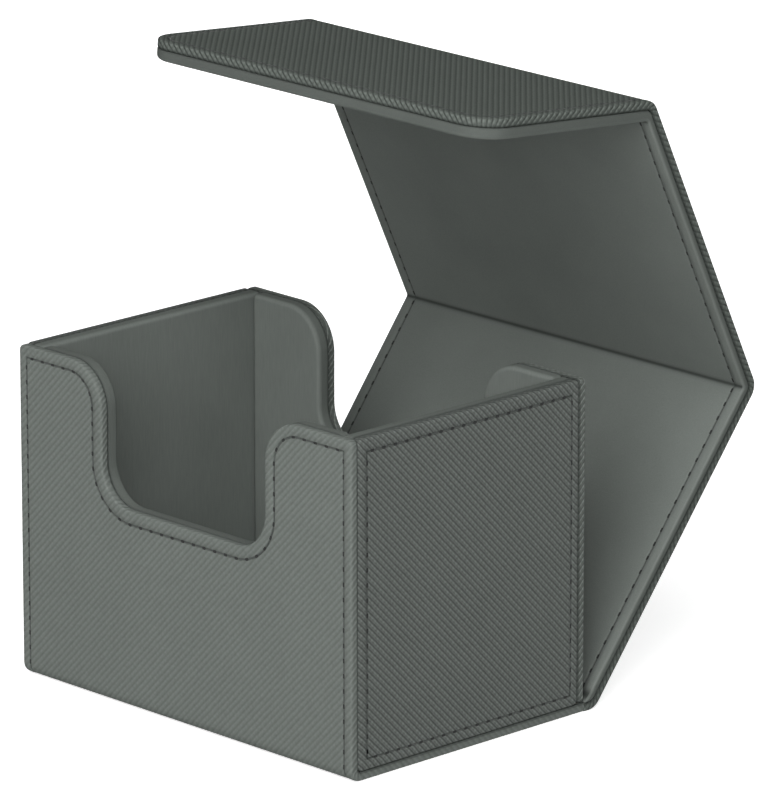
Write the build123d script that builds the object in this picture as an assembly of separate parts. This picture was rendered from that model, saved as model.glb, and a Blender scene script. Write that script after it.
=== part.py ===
from build123d import *
import math
import os

# Deck case with a wrap-round lid in three hinged panels, standing open.
# X runs along the front, the notched front faces -Y and the lid is hinged at the rear of the base.

# Case, outside
case_width = 105.0
case_depth = 70.0
case_height = 75.6

# Layers, from the outside in: coated cloth turned over a board, lining turned over a pad
skin_cloth = 0.8
lining_cloth = 0.6
outer_layer = 2.05
wall_inner_layer = 3.0
floor_inner_layer = 2.4
edge_slack = 0.05

# Edges of the covered layers
skin_edge_radius = 0.5
lining_edge_radius = 1.0
seam_edge_radius = 0.35
panel_corner_radius = 1.2
base_bend_radius = 2.8

# Channel that the stitches lie in
stitch_margin = 2.6
lining_stitch_margin = 3.0
channel_width = 0.9
channel_depth = 0.25
stitch_run = 10.0

# Thumb notches in the front and back walls
notch_width = 51.6
notch_depth = 30.5
notch_top_radius = 10.0
notch_bottom_radius = 9.0
notch_run_out = 5.0

# Lid panels
lid_overhang = 0.8
lower_overhang = 0.3
back_panel_layer = 1.6
top_panel_layer = 1.5
front_flap_layer = 2.6
front_flap_length = 51.3
free_corner_radius = 8.2

# Folds between the panels
fold_depth = 1.0
fold_relief = 0.3
crease_gap = 0.1
base_tail = 0.1
lower_crease_radius = 4.0
rear_crease_radius = 4.0
front_crease_radius = 3.5

# Room between the closed lid and the case
rear_clearance = 0.25
rim_clearance = 2.1
front_clearance = 0.25

# How far each fold stands open from the closed lid, in degrees
back_panel_angle = 38.0
top_panel_angle = 26.75
front_flap_angle = 30.1

# Magnets that hold the front flap shut
magnet_diameter = 10.0
magnet_thickness = 1.5
magnet_inset = 18.5
magnet_edge = 11.05
magnet_slack = 0.1

# Derived sizes
lid_width = case_width + 2 * lid_overhang
lower_width = case_width + 2 * lower_overhang
half_width = case_width / 2
half_depth = case_depth / 2
wall_thickness = outer_layer + wall_inner_layer
floor_top = outer_layer + floor_inner_layer
back_panel_thickness = outer_layer + back_panel_layer
top_panel_thickness = outer_layer + top_panel_layer
front_flap_thickness = outer_layer + front_flap_layer

# Fold axes as (y, z), with the lid closed
rear_face = half_depth + rear_clearance + back_panel_thickness
front_face = -half_depth - front_clearance - front_flap_thickness
lid_face = case_height + rim_clearance + top_panel_thickness
lower_axis = (rear_face - fold_depth, fold_depth)
rear_axis = (rear_face - fold_depth, lid_face - fold_depth)
front_axis = (front_face + fold_depth, lid_face - fold_depth)

# Places of the magnets, in from the case's sides and up from the closed flap's free edge
magnet_spacing = case_width - 2 * magnet_inset
magnet_height = front_axis[1] - front_flap_length + magnet_edge

# Distance from each fold axis to the ends of the panels on either side of it
back_low_end = back_panel_thickness - fold_depth + fold_relief
back_high_end = top_panel_thickness - fold_depth + fold_relief
top_rear_end = back_panel_thickness - fold_depth + fold_relief
top_front_end = front_flap_thickness - fold_depth + fold_relief
flap_end = top_panel_thickness - fold_depth + fold_relief
base_end = half_depth + base_tail


def polygon(points):
    """Flat face through a closed run of points."""
    return make_face(Polyline(*points, close=True))


def round_corners(face, points, radius):
    """Round the corners of a face that lie at the given points."""
    picked = []
    for point in points:
        picked += [v for v in face.vertices() if (Vector(v) - Vector(point)).length < 0.01]
    return fillet(picked, radius)


def wall_outline(width, low, high):
    """Plain wall outline with rounded corners, local Y up."""
    middle = (low + high) / 2
    return Pos(0, middle) * RectangleRounded(width, high - low, panel_corner_radius)


def notched_outline(width, low, high):
    """Wall outline with a thumb notch in its top edge, local Y up."""
    wall = wall_outline(width, low, high)
    half = notch_width / 2
    floor = high - notch_depth
    flare = half + notch_top_radius
    top = high + notch_run_out
    cut = polygon([(-half, floor), (half, floor), (half, top), (-half, top)])
    cut = round_corners(cut, [(-half, floor), (half, floor)], notch_bottom_radius)
    for side in (-1, 1):
        lip = polygon([
            (side * half, high - notch_top_radius),
            (side * flare, high - notch_top_radius),
            (side * flare, top),
            (side * half, top),
        ])
        lip = lip - Pos(side * flare, high - notch_top_radius) * Circle(notch_top_radius)
        cut = cut + lip
    return (wall - cut).face()


def panel_outline(low, high, low_width, high_width):
    """Lid panel outline between two folds, local Y along the panel."""
    return polygon([
        (-low_width / 2, low),
        (low_width / 2, low),
        (high_width / 2, high),
        (-high_width / 2, high),
    ])


def edges_at(body, plane, depth, keep=None):
    """Edges that lie flat at a depth behind a plane, or those of them that keep accepts."""
    found = []
    for edge in body.edges():
        spots = [plane.to_local_coords(edge.position_at(t)) for t in (0, 0.5, 1)]
        level = all(abs(s.Z + depth) < 0.001 for s in spots)
        if level and (keep is None or keep(spots[1])):
            found.append(edge)
    return found


def stitch_channel(outline, plane, margin):
    """Shallow channel along the edge of an outline, at a margin inside it."""
    outer = offset(outline, amount=channel_width / 2 - margin)
    inner = offset(outline, amount=-channel_width / 2 - margin)
    return extrude(plane * (outer - inner), amount=-channel_depth)


def covered_layer(outline, plane, depth, cloth, turn, keep=None, sewn=None, margin=stitch_margin):
    """Cloth turned over the edges of a filler. The plane faces out, the layer lies behind it."""
    block = extrude(plane * outline, amount=-depth)
    inner_plane = plane.offset(-cloth)
    hollow = extrude(inner_plane * offset(outline, amount=-cloth), amount=-depth)
    block = fillet(edges_at(block, plane, 0, keep), turn)
    block = fillet(edges_at(block, plane, depth, keep), seam_edge_radius)
    filling = offset(outline, amount=-cloth - edge_slack)
    filler = extrude(inner_plane * filling, amount=cloth - depth)
    if sewn is not None:
        block = block - stitch_channel(sewn, plane, margin)
    return block - hollow, filler


def facing(normal, distance):
    """Upright or level working plane that faces along a normal, at a distance from the origin."""
    across = {
        "front": (Vector(0, -1, 0), Vector(1, 0, 0)),
        "back": (Vector(0, 1, 0), Vector(-1, 0, 0)),
        "right": (Vector(1, 0, 0), Vector(0, 1, 0)),
        "left": (Vector(-1, 0, 0), Vector(0, -1, 0)),
        "up": (Vector(0, 0, 1), Vector(1, 0, 0)),
        "down": (Vector(0, 0, -1), Vector(-1, 0, 0)),
    }
    out, along = across[normal]
    return Plane(origin=out * distance, x_dir=along, z_dir=out)


def turn_about(point, axis, degrees):
    """Turn a (y, z) point about a (y, z) axis, forward for a positive angle."""
    angle = math.radians(degrees)
    dy = point[0] - axis[0]
    dz = point[1] - axis[1]
    y = axis[0] + dy * math.cos(angle) - dz * math.sin(angle)
    z = axis[1] + dy * math.sin(angle) + dz * math.cos(angle)
    return (y, z)


# Folds of the lid, from the base out: closed axis and opening angle
fold_chain = [
    (lower_axis, back_panel_angle),
    (rear_axis, top_panel_angle),
    (front_axis, front_flap_angle),
]


def opened_point(point, folds):
    """Where a closed (y, z) point stands once the first so many folds are open."""
    for axis, angle in reversed(fold_chain[:folds]):
        point = turn_about(point, axis, -angle)
    return point


def opened(body, folds):
    """Turn a closed piece to where it stands once the first so many folds are open."""
    for axis, angle in reversed(fold_chain[:folds]):
        body = body.rotate(Axis((0, axis[0], axis[1]), (1, 0, 0)), -angle)
    return body


def crossing(p, along, q, across):
    """Point where two (y, z) lines meet."""
    turn = along[0] * across[1] - along[1] * across[0]
    step = ((q[0] - p[0]) * across[1] - (q[1] - p[1]) * across[0]) / turn
    return (p[0] + step * along[0], p[1] + step * along[1])


def direction(degrees):
    """Unit (y, z) direction that leans forward from upright by an angle."""
    angle = math.radians(degrees)
    return (-math.sin(angle), math.cos(angle))


def crease_strips(axis, lean_in, lean_out, end_in, end_out, inner_in, inner_out, radius, width):
    """Outer skin and lining of one fold, bent as the fold stands at rest."""
    run_in = direction(lean_in)
    run_out = direction(lean_out)
    face_in = direction(lean_in - 90)
    face_out = direction(lean_out - 90)
    reach_out = end_out - crease_gap

    def spot(side, level):
        if side == "in":
            run, face, reach = run_in, face_in, -end_in
        else:
            run, face, reach = run_out, face_out, reach_out
        rise = fold_depth - level
        return (
            axis[0] + run[0] * reach + face[0] * rise,
            axis[1] + run[1] * reach + face[1] * rise,
        )

    def corner(level_in, level_out):
        return crossing(spot("in", level_in), run_in, spot("out", level_out), run_out)

    def strip(points, bends):
        profile = polygon(points)
        for point, bend in bends:
            profile = round_corners(profile, [point], bend)
        upright = Plane(origin=(-width / 2, 0, 0), x_dir=(0, 1, 0), z_dir=(1, 0, 0))
        return extrude(upright * profile, amount=width)

    def off_surface(p):
        rises = []
        for face in (face_in, face_out):
            rise = (p.Y - axis[0]) * face[0] + (p.Z - axis[1]) * face[1]
            rises.append(abs(rise - fold_depth))
        return min(rises)

    def ends_rounded(body):
        rim = []
        for edge in body.edges():
            ends = [edge.position_at(t) for t in (0, 1)]
            at_end = abs(abs(edge.position_at(0.5).X) - width / 2) < 0.001
            if at_end and all(off_surface(p) < 0.001 for p in ends):
                rim.append(edge)
        return fillet(rim, skin_edge_radius)

    outer = corner(0, 0)
    middle = corner(outer_layer, outer_layer)
    skin = strip(
        [spot("in", 0), outer, spot("out", 0), spot("out", outer_layer), middle, spot("in", outer_layer)],
        [(outer, radius), (middle, radius - outer_layer)],
    )
    skin = ends_rounded(skin)
    inside = [spot("out", outer_layer + inner_out)]
    if inner_in > 0:
        inside.append(corner(outer_layer + inner_in, outer_layer + inner_out))
        inside.append(spot("in", outer_layer + inner_in))
    lining = strip(
        [spot("in", outer_layer), middle, spot("out", outer_layer)] + inside,
        [(middle, radius - outer_layer + fold_relief)],
    )
    return skin, lining


def magnet_pair(plane, depth, slack):
    """Two discs side by side, set in behind a plane."""
    seat = plane.offset(-depth + slack)
    pair = []
    for side in (-1, 1):
        disc = Pos(side * magnet_spacing / 2, magnet_height) * Circle(magnet_diameter / 2 + slack)
        pair.append(extrude(seat * disc, amount=-magnet_thickness - 2 * slack))
    return pair


nodes = {}

# Front and base: one run of skin, bent under the front, over two boards
front_plane = facing("front", half_depth)
base_plane = facing("down", 0)
front_outline = notched_outline(case_width, -panel_corner_radius, case_height)
front_block = extrude(front_plane * front_outline, amount=-outer_layer)
front_block = front_block & Pos(0, 0, case_height / 2) * Box(case_width, case_depth, case_height)
base_length = base_end + half_depth
base_middle = (base_end - half_depth) / 2
base_block = Pos(0, base_middle, outer_layer / 2) * Box(case_width, base_length, outer_layer)
wrap = front_block + base_block
front_foot = [
    e for e in wrap.edges()
    if abs(e.center().Y + half_depth) < 0.001 and abs(e.center().Z) < 0.001
]
wrap = fillet(front_foot, base_bend_radius)


def on_wrap_edge(edge):
    """Whether an edge bounds the outer face of the front and base."""
    middle = edge.position_at(0.5)
    ends = [edge.position_at(t) for t in (0, 0.5, 1)]
    bend_y = middle.Y + half_depth - base_bend_radius
    bend_z = middle.Z - base_bend_radius
    on_bend = abs(math.hypot(bend_y, bend_z) - base_bend_radius) < 0.001 and bend_y < 0 and bend_z < 0
    on_front = all(abs(p.Y + half_depth) < 0.001 for p in ends) and middle.Z > base_bend_radius + 0.01
    on_base = all(abs(p.Z) < 0.001 for p in ends) and middle.Y > base_bend_radius - half_depth + 0.01
    at_side = abs(abs(middle.X) - half_width) < 0.001
    at_rear = abs(middle.Y - base_end) < 0.001
    return on_front or (at_side and (on_bend or (on_base and not at_rear)))


wrap = fillet([e for e in wrap.edges() if on_wrap_edge(e)], skin_edge_radius)
front_fill = notched_outline(case_width, base_bend_radius, case_height)
front_hollow = offset(front_fill, amount=-skin_cloth)
front_filling = offset(front_fill, amount=-skin_cloth - edge_slack)
base_flat = base_length - base_bend_radius
base_fill = Pos(0, base_middle + base_bend_radius / 2) * Rectangle(case_width, base_flat)
base_hollow = offset(base_fill, amount=-skin_cloth)
base_filling = offset(base_fill, amount=-skin_cloth - edge_slack)
board_thickness = outer_layer - skin_cloth
front_seat = front_plane.offset(-skin_cloth)
base_seat = Plane.XY.offset(skin_cloth)
wrap = wrap - extrude(front_seat * front_hollow, amount=-board_thickness)
wrap = wrap - extrude(base_seat * base_hollow, amount=board_thickness)
nodes["wrap_skin"] = wrap - stitch_channel(
    notched_outline(case_width, -case_height, case_height), front_plane, stitch_margin
)
nodes["front_board"] = extrude(front_seat * front_filling, amount=-board_thickness)
nodes["base_board"] = extrude(base_seat * base_filling, amount=board_thickness)

# Left, right and back walls: outer layer
side_outer = wall_outline(case_depth - 2 * outer_layer, outer_layer, case_height)
back_outer = notched_outline(case_width, outer_layer, case_height)
outer_walls = [
    ("left", facing("left", half_width), side_outer),
    ("right", facing("right", half_width), side_outer),
    ("back", facing("back", half_depth), back_outer),
]
for name, plane, outline in outer_walls:
    skin, board = covered_layer(outline, plane, outer_layer, skin_cloth, skin_edge_radius, sewn=outline)
    nodes[name + "_skin"] = skin
    nodes[name + "_board"] = board

# Walls and floor of the well: inner layer
well_width = case_width - 2 * wall_thickness
well_depth = case_depth - 2 * wall_thickness
end_inner = notched_outline(well_width, outer_layer, case_height)
inner_walls = [
    ("left", facing("right", wall_thickness - half_width), side_outer),
    ("right", facing("left", wall_thickness - half_width), side_outer),
    ("front", facing("back", wall_thickness - half_depth), end_inner),
    ("back", facing("front", wall_thickness - half_depth), end_inner),
]
for name, plane, outline in inner_walls:
    lining, pad = covered_layer(outline, plane, wall_inner_layer, lining_cloth, lining_edge_radius)
    nodes[name + "_lining"] = lining
    nodes[name + "_pad"] = pad
floor_outline = Rectangle(well_width - edge_slack, well_depth - edge_slack)
floor_lining, floor_pad = covered_layer(
    floor_outline, facing("up", floor_top), floor_inner_layer, lining_cloth, lining_edge_radius
)
nodes["floor_lining"] = floor_lining
nodes["floor_pad"] = floor_pad

# Magnets in the front wall
pocket_depth = outer_layer + magnet_slack
nodes["front_magnets"] = magnet_pair(front_plane, pocket_depth, 0)
for pocket in magnet_pair(front_plane, pocket_depth, magnet_slack):
    nodes["front_pad"] = nodes["front_pad"] - pocket

# Lid panels, made closed and then opened. Their stitches run on past the folds.
back_low = lower_axis[1] + back_low_end
back_high = rear_axis[1] - back_high_end
back_outline = panel_outline(back_low, back_high, lower_width, lid_width)
lid_taper = (lid_width - lower_width) / (back_high - back_low) * stitch_run
back_sewn = panel_outline(
    back_low - stitch_run, back_high + stitch_run, lower_width - lid_taper, lid_width + lid_taper
)
top_low = front_axis[0] + top_front_end
top_high = rear_axis[0] - top_rear_end
top_outline = panel_outline(top_low, top_high, lid_width, lid_width)
top_sewn = panel_outline(top_low - stitch_run, top_high + stitch_run, lid_width, lid_width)
flap_high = front_axis[1] - flap_end
flap_low = front_axis[1] - front_flap_length


def flap_shape(high):
    """Front flap outline up to a height, with rounded free corners."""
    plain = panel_outline(flap_low, high, lid_width, lid_width)
    corners = [(-lid_width / 2, flap_low), (lid_width / 2, flap_low)]
    return round_corners(plain, corners, free_corner_radius)


flap_outline = flap_shape(flap_high)
flap_sewn = flap_shape(flap_high + stitch_run)


def at_sides(spot):
    """Whether a spot on a panel's rim is on its left or right edge."""
    return abs(spot.X) > lid_width / 4


def off_crease(spot):
    """Whether a spot on the front flap's rim is away from its fold."""
    return abs(spot.Y - flap_high) > 0.01


lid_panels = [
    ("back_panel", 1, "back", rear_face, back_outline, back_sewn, back_panel_layer, at_sides),
    ("top_panel", 2, "up", lid_face, top_outline, top_sewn, top_panel_layer, at_sides),
    ("front_flap", 3, "front", -front_face, flap_outline, flap_sewn, front_flap_layer, off_crease),
]
opposite = {"back": "front", "up": "down", "front": "back"}
for name, folds, side, distance, outline, sewn, inner_layer, keep in lid_panels:
    outer_plane = facing(side, distance)
    inner_plane = facing(opposite[side], outer_layer + inner_layer - distance)
    skin, board = covered_layer(
        outline, outer_plane, outer_layer, skin_cloth, skin_edge_radius, keep, sewn
    )
    lining, pad = covered_layer(
        outline, inner_plane, inner_layer, lining_cloth, lining_edge_radius, keep, sewn, lining_stitch_margin
    )
    if name == "front_flap":
        magnets = magnet_pair(outer_plane, pocket_depth, 0)
        for pocket in magnet_pair(outer_plane, pocket_depth, magnet_slack):
            pad = pad - pocket
        nodes["flap_magnets"] = [opened(m, folds) for m in magnets]
    nodes[name + "_skin"] = opened(skin, folds)
    nodes[name + "_board"] = opened(board, folds)
    nodes[name + "_lining"] = opened(lining, folds)
    nodes[name + "_pad"] = opened(pad, folds)

# Creases between the panels, bent as they stand
back_lean = -back_panel_angle
top_lean = back_lean + 90 - top_panel_angle
flap_lean = top_lean + 90 - front_flap_angle
lower_rest = lower_axis
rear_rest = opened_point(rear_axis, 1)
front_rest = opened_point(front_axis, 2)
base_reach = lower_axis[0] - base_end
creases = [
    ("lower_crease", lower_rest, -90, back_lean, base_reach, back_low_end,
     0, back_panel_layer, lower_crease_radius, lower_width),
    ("rear_crease", rear_rest, back_lean, top_lean, back_high_end, top_rear_end,
     back_panel_layer, top_panel_layer, rear_crease_radius, lid_width),
    ("front_crease", front_rest, top_lean, flap_lean, top_front_end, flap_end,
     top_panel_layer, front_flap_layer, front_crease_radius, lid_width),
]
for name, axis, *sizes in creases:
    skin, lining = crease_strips(axis, *sizes)
    nodes[name + "_skin"] = skin
    nodes[name + "_lining"] = lining
    print(name, "axis y", round(axis[0], 4), "z", round(axis[1], 4))

# One file for each piece
os.makedirs("parts", exist_ok=True)
for name, body in nodes.items():
    solids = body if isinstance(body, list) else list(body.solids())
    piece = solids[0] if len(solids) == 1 else Compound(children=solids)
    piece.label = name
    export_step(piece, "parts/" + name + ".step")
print(len(nodes), "pieces")
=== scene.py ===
import logging
import math
from dataclasses import dataclass, field
from enum import Enum
from typing import NamedTuple

import bmesh
import bpy
from mathutils import Matrix, Vector


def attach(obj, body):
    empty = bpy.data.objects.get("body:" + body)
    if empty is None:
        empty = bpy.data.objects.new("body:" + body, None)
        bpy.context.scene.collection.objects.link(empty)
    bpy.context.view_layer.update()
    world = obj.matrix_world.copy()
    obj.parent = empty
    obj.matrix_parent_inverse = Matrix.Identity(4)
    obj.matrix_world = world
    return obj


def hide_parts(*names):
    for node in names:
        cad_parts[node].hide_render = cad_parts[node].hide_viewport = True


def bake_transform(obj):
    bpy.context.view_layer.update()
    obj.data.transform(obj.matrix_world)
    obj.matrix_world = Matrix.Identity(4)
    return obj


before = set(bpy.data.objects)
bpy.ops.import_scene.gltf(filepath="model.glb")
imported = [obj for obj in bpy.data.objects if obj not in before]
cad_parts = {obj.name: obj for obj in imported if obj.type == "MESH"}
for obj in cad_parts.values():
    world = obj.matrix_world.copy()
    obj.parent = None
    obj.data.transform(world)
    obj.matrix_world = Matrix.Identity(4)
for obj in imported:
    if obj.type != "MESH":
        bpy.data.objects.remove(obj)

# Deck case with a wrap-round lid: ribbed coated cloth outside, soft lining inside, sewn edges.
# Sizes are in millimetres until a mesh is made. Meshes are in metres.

log = logging.getLogger("deck_case")

MM = 0.001
FLAT_MAP = "flat"
# Point attribute of painted shade: 0 to 1 in seams, stitch grooves, fold valleys and on turned lining
# edges; below 0 on turned skin edges, for painted rib shading and a painted highlight.
SHADE_MARK = "groove"
WAY_OUT = "way_out"

STITCH_ROUNDING = 1.6  # least rounding of a stitch line at a corner
AXIS_DEPTH = 1.0  # depth of the fold axes under the outer face
# Fold valleys take painted shade; their rolled edges take a share of it.
ROLLED_SHARE = 0.4  # part of a fold's darkness that its rolled edges take
MERGE_GAP = 1e-7  # metres within which two points are one
SHARP_ANGLE = math.radians(50)
WHITE = (1, 1, 1, 1)

Pair = tuple[float, float]
Triple = tuple[float, float, float]
Shares = tuple[float, ...]
Colour = tuple[float, float, float, float]
Feeds = dict[str, object]


class Body(Enum):
    """Moving bodies of the case."""

    CASE = "case"
    BACK_PANEL = "back_panel"
    TOP_PANEL = "top_panel"
    FRONT_FLAP = "front_flap"


class Slot(Enum):
    """Finishes that the part's record names."""

    SKIN = "ribbed_skin"
    LINING = "lining_cloth"
    BOARD = "stiffener_board"
    PAD = "pad_board"
    MAGNET = "magnet"


class LiningGrain(Enum):
    """How the fine grain of the lining runs."""

    EVEN = "even"
    UPRIGHT = "upright"


def shade(red: int, green: int, blue: int) -> Colour:
    """Turn a display colour into the linear colour a shader takes.

    Args:
        red: Red, 0 to 255.
        green: Green, 0 to 255.
        blue: Blue, 0 to 255.

    Returns:
        Linear colour with full opacity.
    """
    linear = []
    for value in (red, green, blue):
        part = value / 255
        linear.append(part / 12.92 if part <= 0.04045 else ((part + 0.055) / 1.055) ** 2.4)
    return (linear[0], linear[1], linear[2], 1.0)


def lighter(colour: Colour, factor: float) -> Colour:
    """Colour made lighter or darker by a factor."""
    return (colour[0] * factor, colour[1] * factor, colour[2] * factor, 1.0)


# ---------------------------------------------------------------- finishes


class NodeBench:
    """Node tree that is built up by short calls."""

    def __init__(self, tree: bpy.types.NodeTree) -> None:
        """Take the tree to build in."""
        self.tree = tree

    def feed(self, socket: bpy.types.NodeSocket, value: object) -> None:
        """Link a socket to another, or set its own value.

        Args:
            socket: Socket that takes the value.
            value: Socket to link from, or a plain value.
        """
        if isinstance(value, bpy.types.NodeSocket):
            self.tree.links.new(value, socket)
        else:
            socket.default_value = value

    def node(self, kind: str, feeds: Feeds | None = None, **settings: object) -> bpy.types.Node:
        """Add a node.

        Args:
            kind: Its type.
            feeds: Sockets or plain values for its inputs, by the input's name.
            settings: Its properties.

        Returns:
            The new node.
        """
        made = self.tree.nodes.new(kind)
        for key, value in settings.items():
            setattr(made, key, value)
        for key, value in (feeds or {}).items():
            self.feed(made.inputs[key], value)
        return made

    def combined(self, kind: str, *values: object, **settings: object) -> bpy.types.Node:
        """Add a node whose inputs are fed in order.

        Args:
            kind: Its type.
            values: Sockets or plain values for its inputs.
            settings: Its properties.

        Returns:
            The new node.
        """
        made = self.node(kind, **settings)
        for socket, value in zip(made.inputs, values):
            self.feed(socket, value)
        return made

    def math(self, operation: str, *values: object) -> bpy.types.NodeSocket:
        """Result of a sum on numbers, given in order as sockets or plain values."""
        return self.combined("ShaderNodeMath", *values, operation=operation).outputs[0]

    def vector(self, operation: str, *values: object) -> bpy.types.Node:
        """Sum on vectors, given in order as sockets or plain values."""
        return self.combined("ShaderNodeVectorMath", *values, operation=operation)

    def joined(self, x: object, y: object, z: object) -> bpy.types.NodeSocket:
        """Vector from three numbers."""
        return self.combined("ShaderNodeCombineXYZ", x, y, z).outputs[0]


class Recipe(NodeBench):
    """Node tree of one finish."""

    def __init__(self, name: str) -> None:
        """Start an empty material.

        Args:
            name: Name of the finish.
        """
        self.material = bpy.data.materials.new(name)
        self.material.use_nodes = True
        super().__init__(self.material.node_tree)
        self.tree.nodes.clear()
        self.output = self.node("ShaderNodeOutputMaterial")

    def place(self, scale: Triple = (1, 1, 1)) -> bpy.types.NodeSocket:
        """Object coordinates, stretched by a scale."""
        spot = self.node("ShaderNodeTexCoord").outputs["Object"]
        return self.node("ShaderNodeMapping", {"Scale": scale, "Vector": spot}).outputs[0]

    def noise(self, spot: bpy.types.NodeSocket, scale: float, detail: float = 2.0) -> bpy.types.NodeSocket:
        """Soft noise at a scale, about 0 to 1."""
        feeds = {"Vector": spot, "Scale": scale, "Detail": detail}
        return self.node("ShaderNodeTexNoise", feeds).outputs["Fac"]

    def varied(self, value: bpy.types.NodeSocket, amount: float, onto: object) -> bpy.types.NodeSocket:
        """A noise about its middle, times an amount, added to another value."""
        return self.math("MULTIPLY_ADD", self.math("SUBTRACT", value, 0.5), amount, onto)

    def attribute(self, name: str) -> bpy.types.NodeSocket:
        """Number kept on the mesh's points."""
        return self.node("ShaderNodeAttribute", attribute_name=name).outputs["Fac"]

    def tinted(self, base: object, other: object, amount: bpy.types.NodeSocket) -> bpy.types.NodeSocket:
        """Mix of two colours.

        Args:
            base: First colour, a socket or a value.
            other: Second colour, a socket or a value.
            amount: Share of the second colour, also below 0 or over 1.

        Returns:
            Socket with the mix.
        """
        mix = self.node("ShaderNodeMix", data_type="RGBA", blend_type="MIX", clamp_factor=False)
        self.feed(mix.inputs["Factor"], amount)
        for key, colour in (("A", base), ("B", other)):
            socket = next(s for s in mix.inputs if s.name == key and s.type == "RGBA")
            self.feed(socket, colour)
        return next(s for s in mix.outputs if s.type == "RGBA")

    def bump(self, height: bpy.types.NodeSocket, depth: float) -> bpy.types.NodeSocket:
        """Surface relief of a depth in millimetres, from a height of 0 to 1."""
        feeds = {"Strength": 1.0, "Distance": depth * MM, "Height": height}
        return self.node("ShaderNodeBump", feeds).outputs[0]

    def surface(self, colour: object, rough: object, relief: object = None,
                **constants: float) -> bpy.types.Material:
        """Finish the material with one shader.

        Args:
            colour: Base colour, a socket or a value.
            rough: Roughness, a socket or a value.
            relief: Normal socket, or None.
            constants: Other shader values by socket name, with _ for a space.

        Returns:
            The finished material.
        """
        shader = self.node("ShaderNodeBsdfPrincipled", {"Base Color": colour, "Roughness": rough})
        if relief is not None:
            self.feed(shader.inputs["Normal"], relief)
        for key, value in constants.items():
            shader.inputs[key.replace("_", " ")].default_value = value
        self.feed(self.output.inputs["Surface"], shader.outputs[0])
        return self.material


@dataclass(frozen=True)
class RibbedCloth:
    """Coated cloth with fine slanting ribs and fainter lines across them, toned with painted rib shade and
    highlight.
    """

    name: str
    base: Colour
    # contrast, sharpness, lean and cross set painted shading: a dark valley and a lit flank across each
    # rib, and lighter beads along it.
    contrast: float
    sharpness: float
    lean: float
    cross: float
    speck: float
    # seam: colour of the painted shade in seams, stitch grooves and fold valleys.
    seam: Colour = shade(38, 41, 39)
    shade_cover: float = 0.85
    pitch: float = 1.17
    sway: float = 0.9
    sway_scale: float = 900.0
    rib_depth: float = 0.1
    cross_share: float = 0.16
    grain_share: float = 0.12
    grain_scale: float = 5200.0
    speck_scale: float = 1700.0
    patch: float = -0.1
    patch_scale: float = 60.0
    edge_contrast: float = 0.25
    edge_highlight: float = 0.08
    full_light: float = 2.0
    rough: float = 0.56
    rough_spread: float = 0.16

    def make(self) -> bpy.types.Material:
        """Build the cloth's material from its flat map, in millimetres.

        Returns:
            The finished material.
        """
        recipe = Recipe(self.name)
        flat = recipe.node("ShaderNodeUVMap", uv_map=FLAT_MAP).outputs[0]
        across, up = recipe.node("ShaderNodeSeparateXYZ", {"Vector": flat}).outputs[:2]
        step = 2 * math.pi / (math.sqrt(2) * self.pitch)
        drift = recipe.noise(recipe.place(), self.sway_scale, 1.0)
        sway = recipe.math("MULTIPLY_ADD", drift, self.sway, -self.sway / 2)
        turn = recipe.math("MULTIPLY_ADD", recipe.math("SUBTRACT", across, up), step, sway)
        line = recipe.math("MULTIPLY", recipe.math("ADD", across, up), step)
        # Painted shade and highlight across each rib, shaped by sharpness and lean.
        first = recipe.math("COSINE", turn)
        second = recipe.math("COSINE", recipe.math("MULTIPLY_ADD", turn, 2.0, self.lean))
        tone = recipe.math("MULTIPLY_ADD", second, self.sharpness, first)
        ridge = recipe.math("MULTIPLY_ADD", first, 0.5, 0.5)
        bead = recipe.math("MULTIPLY", recipe.math("COSINE", line), ridge)
        grain = recipe.noise(recipe.place(), self.grain_scale, 2.0)
        height = recipe.math("MULTIPLY_ADD", bead, self.cross_share, ridge)
        height = recipe.math("MULTIPLY_ADD", grain, self.grain_share, height)

        groove = recipe.attribute(SHADE_MARK)
        # Turned edges, marked below 0, get stronger painted rib shading and a painted highlight.
        edge = recipe.math("MAXIMUM", recipe.math("MULTIPLY", groove, -1.0), 0.0)
        strength = recipe.math("MULTIPLY_ADD", edge, self.edge_contrast, self.contrast)
        light = recipe.math("MULTIPLY", tone, strength)
        light = recipe.math("MULTIPLY_ADD", edge, self.edge_highlight, light)
        # Painted highlight on the beads along each rib.
        light = recipe.math("MULTIPLY_ADD", bead, self.cross, light)
        light = recipe.varied(recipe.noise(recipe.place(), self.speck_scale, 1.0), self.speck, light)
        light = recipe.varied(recipe.noise(recipe.place(), self.patch_scale, 3.0), self.patch, light)
        cloth = recipe.tinted(self.base, lighter(self.base, self.full_light), light)
        # Painted shade in seams, stitch grooves and fold valleys.
        painted_shade = recipe.math("MULTIPLY", recipe.math("MAXIMUM", groove, 0.0), self.shade_cover)
        colour = recipe.tinted(cloth, self.seam, painted_shade)
        rough = recipe.math("MULTIPLY_ADD", grain, self.rough_spread, self.rough)
        return recipe.surface(colour, rough, recipe.bump(height, self.rib_depth), Specular_IOR_Level=0.0)


# Lit and shaded copies of one cloth: the front and back are painted lighter, the sides and the lid darker,
# each with its own painted rib shading for how light falls on it.
FRONT_CLOTH = RibbedCloth("front_cloth", shade(104, 109, 105), 0.117, 0.25, 1.9, 0.03, 0.25)
SIDE_CLOTH = RibbedCloth("side_cloth", shade(92, 96, 93), 0.259, 0.716, 1.5, 0.17, 0.4)
BACK_CLOTH = RibbedCloth("back_cloth", shade(101, 106, 102), 0.259, 0.716, 1.5, 0.17, 0.4)
LID_CLOTH = RibbedCloth("lid_cloth", shade(85, 90, 86), 0.205, 0.42, 2.45, 0.2, 0.2)


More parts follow.
